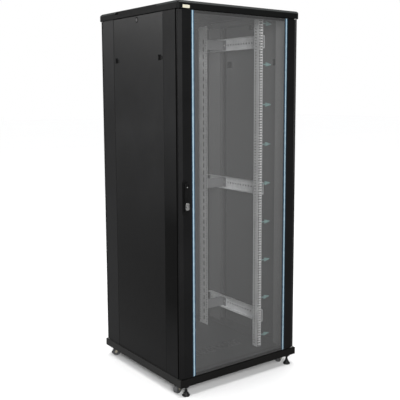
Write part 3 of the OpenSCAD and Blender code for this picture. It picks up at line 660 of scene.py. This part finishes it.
# Half of the seal's section in mm: distance from its middle, height over the post
SEAL_HALF = [(6, 0), (6, 0.7), (3.5, 1.2), (2.6, 2.3)]
SEAL_TOP = 2.7


def door_seal(end, sy, side, sx):
    """A foam strip on the face of a post, under the edge of the door."""
    lo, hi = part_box(f"{end}_{side}_post")
    face_y = outer_y(lo, hi, sy)
    outline = SEAL_HALF + [(0, SEAL_TOP)] + [(-u, v) for u, v in reversed(SEAL_HALF)]
    bm = bmesh.new()
    add_prism(bm, [(u * MM, v * MM) for u, v in outline],
              lambda u, v, w: (sx * SEAL_X + u, face_y + sy * v, lo.z + SEAL_INSET + w),
              hi.z - lo.z - 2 * SEAL_INSET)
    piece(f"{end}_{side}_seal", bm, "frame", "latch_black", "seal_foam")


for end, sy in ENDS:
    for side, sx in SIDES:
        door_seal(end, sy, side, sx)

# ---------------------------------------------------------------- rod guides in the front door
GUIDE_HEIGHTS = {"upper": (1.24, 1.55, 1.86), "lower": (0.96, 0.58, 0.20)}
GUIDE_GAP, GUIDE_WALL, GUIDE_CAP = 0.5 * MM, 2.2 * MM, 2 * MM
GUIDE_HALF_H = 8 * MM
# Distance of the guides' feet from the front of the door
GUIDE_FOOT = 2.2 * MM
SMALL_ROUND = 0.5 * MM


def rod_guides(name):
    """Plastic staples that hold a lock rod against the inside of the door."""
    lo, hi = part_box(f"front_{name}_rod")
    y0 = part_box("front_door_left_strip")[0].y + GUIDE_FOOT
    x0, x1, y1 = lo.x - GUIDE_GAP, hi.x + GUIDE_GAP, hi.y + GUIDE_GAP
    bm = bmesh.new()
    for z in GUIDE_HEIGHTS[name]:
        below, above = z - GUIDE_HALF_H, z + GUIDE_HALF_H
        for a, b in ((x0 - GUIDE_WALL, x0), (x1, x1 + GUIDE_WALL)):
            add_box(bm, (a, y0, below), (b, y1 + GUIDE_CAP, above), SMALL_ROUND)
        add_box(bm, (x0 - GUIDE_WALL, y1, below), (x1 + GUIDE_WALL, y1 + GUIDE_CAP, above),
                SMALL_ROUND)
    piece(f"front_{name}_rod_guides", bm, "front_door", "handle_black")


for name in GUIDE_HEIGHTS:
    rod_guides(name)

# ---------------------------------------------------------------- front handle and lock
LOCK_SLOT_X, LOCK_SLOT_W, LOCK_SLOT_H, LOCK_SLOT_T = 8.9 * MM, 2.2 * MM, 16 * MM, 0.35 * MM
# Profiles in mm: radius, distance along the axis
KEY_FACE = [(0, 0), (5.6, 0), (5.8, 0.15), (5.8, 0.3), (0, 0.3)]
KEY_FACE_T = 0.3 * MM
RIVET_PROFILE = [(0, 0), (2.6, 0), (3.4, -0.5), (3.6, -1.2), (0, -1.2)]
RIVET_PROUD, RIVET_DROP = 1.0 * MM, 17 * MM
GRIPS, GRIP_START, GRIP_PITCH = 5, 12 * MM, 5 * MM
GRIP_HALF_W, GRIP_T, GRIP_H = 8 * MM, 0.5 * MM, 2 * MM


def lock_details():
    """Two slots in the bezel of the lock, and the face of the key cylinder."""
    lo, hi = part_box("front_lock_bezel")
    middle = (lo + hi) / 2
    bm = bmesh.new()
    for x in (middle.x - LOCK_SLOT_X, middle.x + LOCK_SLOT_X):
        add_box(bm, (x - LOCK_SLOT_W / 2, lo.y - LOCK_SLOT_T, middle.z - LOCK_SLOT_H / 2),
                (x + LOCK_SLOT_W / 2, lo.y, middle.z + LOCK_SLOT_H / 2), 0.15 * MM)
    piece("front_lock_slots", bm, "front_lever", "handle_black")
    lo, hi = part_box("front_key_cylinder")
    middle = (lo + hi) / 2
    bm = bmesh.new()
    add_lathe(bm, KEY_FACE, (middle.x, lo.y - KEY_FACE_T, middle.z), (0, -1, 0), 32)
    piece("front_key_face", bm, "front_key", "lock_chrome", "lock_steel")


def lever_details():
    """A rivet near the top of the lever, and grip ridges above the lock."""
    lo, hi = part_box("front_handle_lever")
    bezel_lo, bezel_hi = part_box("front_lock_bezel")
    x = (bezel_lo.x + bezel_hi.x) / 2
    bm = bmesh.new()
    add_lathe(bm, RIVET_PROFILE, (x, lo.y - RIVET_PROUD, hi.z - RIVET_DROP), (0, -1, 0), 24)
    piece("front_lever_rivet", bm, "front_lever", "lock_chrome")
    bm = bmesh.new()
    for k in range(GRIPS):
        z = bezel_hi.z + GRIP_START + k * GRIP_PITCH
        add_box(bm, (x - GRIP_HALF_W, lo.y - GRIP_T, z), (x + GRIP_HALF_W, lo.y, z + GRIP_H),
                0.2 * MM)
    piece("front_lever_grips", bm, "front_lever", "handle_black")


lock_details()
lever_details()

# ---------------------------------------------------------------- side panels
# Distance of a latch's slide from the free end of its plate
LATCH_HOLE = 14 * MM
# The mark is an arc in front of the hole, painted shade along the edge of a recess: distance of its centre, radii
# and half its angle
ARC_OFF, ARC_OUTER, ARC_INNER, ARC_ANGLE, ARC_STEP = 14 * MM, 14 * MM, 7 * MM, 52, 8
ARC_DROP = 2 * MM
BEZEL_T, BEZEL_HOLE, BEZEL_W, BEZEL_H = 0.5 * MM, 10.2 * MM, 13 * MM, 14 * MM
# Thickness of the dark strips in the gaps beside a panel, painted shade
GAP_SHADE_T = 0.3 * MM
# Edges of the painted shade strips in the gaps in front of the panel and behind it
FRONT_GAP, REAR_GAP = (-3 * MM, -1 * MM), (1 * MM, 6 * MM)
# Ring around a lock, in mm
RING_PROFILE = [(9.3, 0), (9.3, 0.5), (9.8, 0.9), (13.8, 0.9), (14.4, 0.4), (14.5, 0)]


def latch_details(side, sx, end, skin):
    """The arc mark, painted shade along the edge of a recess, and the bezel around the slide of a panel latch."""
    lo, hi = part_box(f"{side}_{end}_latch")
    z = (lo.z + hi.z) / 2
    y = lo.y + LATCH_HOLE if end == "front" else hi.y - LATCH_HOLE
    there = [(radius, angle) for radius, angles in
             ((ARC_OUTER, range(-ARC_ANGLE, ARC_ANGLE + 1, ARC_STEP)),
              (ARC_INNER, range(ARC_ANGLE, -ARC_ANGLE - 1, -ARC_STEP))) for angle in angles]
    outline = [(y - ARC_OFF - radius * math.cos(math.radians(angle)),
                z - ARC_DROP + radius * math.sin(math.radians(angle))) for radius, angle in there]
    bm = bmesh.new()
    add_prism(bm, outline, lambda u, v, w: (skin + sx * w, u, v), BEZEL_T)
    piece(f"{side}_{end}_latch_shade_arc", bm, f"{side}_panel", "latch_black")
    bm = bmesh.new()
    x0, x1 = sorted((skin, skin + sx * BEZEL_T))
    for y0, y1, z0, z1 in ((-BEZEL_W, -BEZEL_HOLE, -BEZEL_H, BEZEL_H),
                           (BEZEL_HOLE, BEZEL_W, -BEZEL_H, BEZEL_H),
                           (-BEZEL_HOLE, BEZEL_HOLE, -BEZEL_H, -BEZEL_HOLE),
                           (-BEZEL_HOLE, BEZEL_HOLE, BEZEL_HOLE, BEZEL_H)):
        add_box(bm, (x0, y + y0, z + z0), (x1, y + y1, z + z1))
    piece(f"{side}_{end}_latch_bezel", bm, f"{side}_panel", "latch_black")


def gap_shade_strips(side, sx, lo, hi, skin):
    """Dark strips in the gaps between the panel and the posts: painted shade."""
    x0, x1 = sorted((skin, skin + sx * GAP_SHADE_T))
    bm = bmesh.new()
    for y, (start, end) in ((hi.y, REAR_GAP), (lo.y, FRONT_GAP)):
        add_box(bm, (x0, y + start, lo.z), (x1, y + end, hi.z))
    piece(f"{side}_panel_gap_strip_shade", bm, "frame", "latch_black", "seal_foam")


def lock_ring(side, sx, skin):
    """A turned ring around the lock of a panel."""
    lock = Vector(JOINTS[f"{side}_panel_lock_turn"]["pos_m"])
    bm = bmesh.new()
    add_lathe(bm, RING_PROFILE, (skin, lock.y, lock.z), (sx, 0, 0))
    piece(f"{side}_lock_ring", bm, f"{side}_panel", "latch_black")


for side, sx in SIDES:
    lo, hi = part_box(f"{side}_side_panel")
    skin = outer_x(lo, hi, sx)
    for end, sy in ENDS:
        latch_details(side, sx, end, skin)
    gap_shade_strips(side, sx, lo, hi, skin)
    lock_ring(side, sx, skin)

# ---------------------------------------------------------------- casters and feet
# Profiles in mm: radius, distance from the middle of the wheel
DISC_PROFILE = [(10.6, 9.2), (11, 10.6), (13, 10.9), (16, 10.4), (16.8, 9.2)]
NUT_PROFILE = [(0, 20.2), (2.6, 20.2), (4.6, 19.4), (5.4, 18.2), (5.6, 16.25), (0, 16.25)]
# Profile in mm of a foot's pad and stem: radius, height over the floor
PAD_PROFILE = [(0, 0), (17.2, 0), (18.6, 0.4), (19.6, 1.4), (20, 2.8), (20, 5.2), (19.5, 6.6),
               (18.4, 7.6), (17.4, 8.4), (16.6, 9.8), (13.6, 14.8), (11.2, 18.4), (9.6, 20.8),
               (8.6, 22.2), (6.4, 22.9), (5.9, 23.4)]
THREAD_START, THREAD_END, THREAD_PITCH, THREAD_TOP, THREAD_ROOT = 30.4, 84.0, 1.6, 5.98, 5.45
STEM_END = [(5.9, 85.6), (5.0, 87.0), (0, 87.0)]
COLLAR_R, COLLAR_Z, COLLAR_H = 9 * MM, 23 * MM, 7 * MM


def caster_details(corner):
    """Discs on both sides of a wheel, and the nuts on its axle."""
    hub = Vector(JOINTS["roll_" + corner]["pos_m"])
    axis = Vector(JOINTS["roll_" + corner]["axis"]).normalized()
    bm = bmesh.new()
    for way in (-1, 1):
        add_lathe(bm, DISC_PROFILE, hub, axis * way)
    piece(f"caster_disc_{corner}", bm, f"wheel_{corner}", "caster_tread", "wheel_grey")
    bm = bmesh.new()
    for way in (-1, 1):
        add_lathe(bm, NUT_PROFILE, hub, axis * way, 6)
    piece(f"caster_nut_{corner}", bm, f"swivel_{corner}", "caster_zinc")


def foot_profile():
    turns = math.ceil((THREAD_END - THREAD_START) / THREAD_PITCH)
    crests = [THREAD_START + k * THREAD_PITCH for k in range(turns)]
    thread = [point for z in crests
              for point in ((THREAD_TOP, z), (THREAD_ROOT, z + THREAD_PITCH / 2))]
    return PAD_PROFILE + thread + STEM_END


def foot_detail(corner):
    """A turned foot with a rubber pad, a threaded stem and a hexagon."""
    lo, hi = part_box(f"foot_{corner}")
    at = Vector(((lo.x + hi.x) / 2, (lo.y + hi.y) / 2, 0))
    bm = bmesh.new()
    add_lathe(bm, foot_profile(), at, (0, 0, 1), 40)
    corners = [math.radians(60 * k) for k in range(6)]
    hexagon = [(COLLAR_R * math.cos(turn), COLLAR_R * math.sin(turn)) for turn in corners]
    before = set(bm.edges)
    add_prism(bm, hexagon, lambda u, v, w: (at.x + u, at.y + v, COLLAR_Z + w), COLLAR_H)
    bmesh.ops.bevel(bm, geom=[edge for edge in bm.edges if edge not in before],
                    offset=SMALL_ROUND, segments=2, profile=0.5, affect="EDGES")
    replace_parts(piece(f"foot_detail_{corner}", bm, f"foot_{corner}", "foot_black"),
                f"foot_{corner}")


for end, sy in ENDS:
    for side, sx in SIDES:
        caster_details(f"{end}_{side}")
        foot_detail(f"{end}_{side}")

# ---------------------------------------------------------------- rounded edges of CAD pieces
ROUNDING = {"front_handle_base": 1.5 * MM, "rear_handle_base": 1.5 * MM,
            "front_handle_lever": 2.2 * MM, "rear_handle_lever": 2.0 * MM,
            "front_lock_bezel": 0.4 * MM, "badge_plate": 0.25 * MM}
for node, width in ROUNDING.items():
    soften(node, width)

# ---------------------------------------------------------------- floor, world, lights
FLOOR_SIZE = 40.0
# The floor is nearly white to the camera and darker to the light that it sends back
FLOOR_LIT, FLOOR_SEEN = (0.22, 0.22, 0.22), ((0.89, 0.89, 0.89), (0.91, 0.91, 0.91))
SKY_LIT, SKY_LIT_POWER, SKY_SEEN = (0.97, 0.98, 1.0, 1), 0.13, (1, 1, 1, 1)
SUN_ANGLE = 1.0


def make_floor():
    bm = bmesh.new()
    bmesh.ops.create_grid(bm, x_segments=8, y_segments=8, size=FLOOR_SIZE)
    mesh = bpy.data.meshes.new("floor")
    bm.to_mesh(mesh)
    bm.free()
    floor = bpy.data.objects.new("floor", mesh)
    bpy.context.scene.collection.objects.link(floor)
    g = Graph("floor_pale")
    g.set(specular=0.05)
    seen = g.add("ShaderNodeLightPath").outputs["Is Camera Ray"]
    tone = g.mix(g.noise(0.7, detail=3.0), *FLOOR_SEEN)
    rough_map = g.span(g.noise(3.0, detail=3.0), 0.75, 0.85)
    mesh.materials.append(g.finish(g.mix(seen, FLOOR_LIT, tone), rough_map))


def make_world():
    world = bpy.data.worlds.new("studio")
    bpy.context.scene.world = world
    world.use_nodes = True
    tree = world.node_tree
    tree.nodes.clear()
    out = tree.nodes.new("ShaderNodeOutputWorld")
    mix = tree.nodes.new("ShaderNodeMixShader")
    path = tree.nodes.new("ShaderNodeLightPath")
    tree.links.new(path.outputs["Is Camera Ray"], mix.inputs[0])
    for place, color, power in ((1, SKY_LIT, SKY_LIT_POWER), (2, SKY_SEEN, 1.0)):
        sky = tree.nodes.new("ShaderNodeBackground")
        sky.inputs[0].default_value = color
        sky.inputs[1].default_value = power
        tree.links.new(sky.outputs[0], mix.inputs[place])
    tree.links.new(mix.outputs[0], out.inputs[0])


def light(name, at, target, power, size=None):
    """A soft box of a size, or a sun where no size is given."""
    data = bpy.data.lights.new(name, "AREA" if size else "SUN")
    data.energy = power
    if size:
        data.shape = "RECTANGLE"
        data.size, data.size_y = size
    else:
        data.angle = SUN_ANGLE
    obj = bpy.data.objects.new(name, data)
    obj.location = at
    aim(obj, Vector(target) - Vector(at))
    obj.visible_camera = False
    bpy.context.scene.collection.objects.link(obj)


make_floor()
make_world()
light("overhead_sun", (0.3, 0.6, 6.0), (0, 0, 0.9), 3.2)
light("front_box", (-2.6, -4.45, 2.2), (0.1, 0.0, 1.0), 325.0, (2.0, 2.0))
light("back_left_box", (-3.6, 3.8, 3.3), (0, 0, 1.4), 72.0, (2.4, 1.8))
light("right_box", (4.2, -1.0, 1.9), (0.3, -0.2, 1.2), 10.0, (0.8, 2.2))
bpy.context.scene.view_settings.view_transform = "Standard"
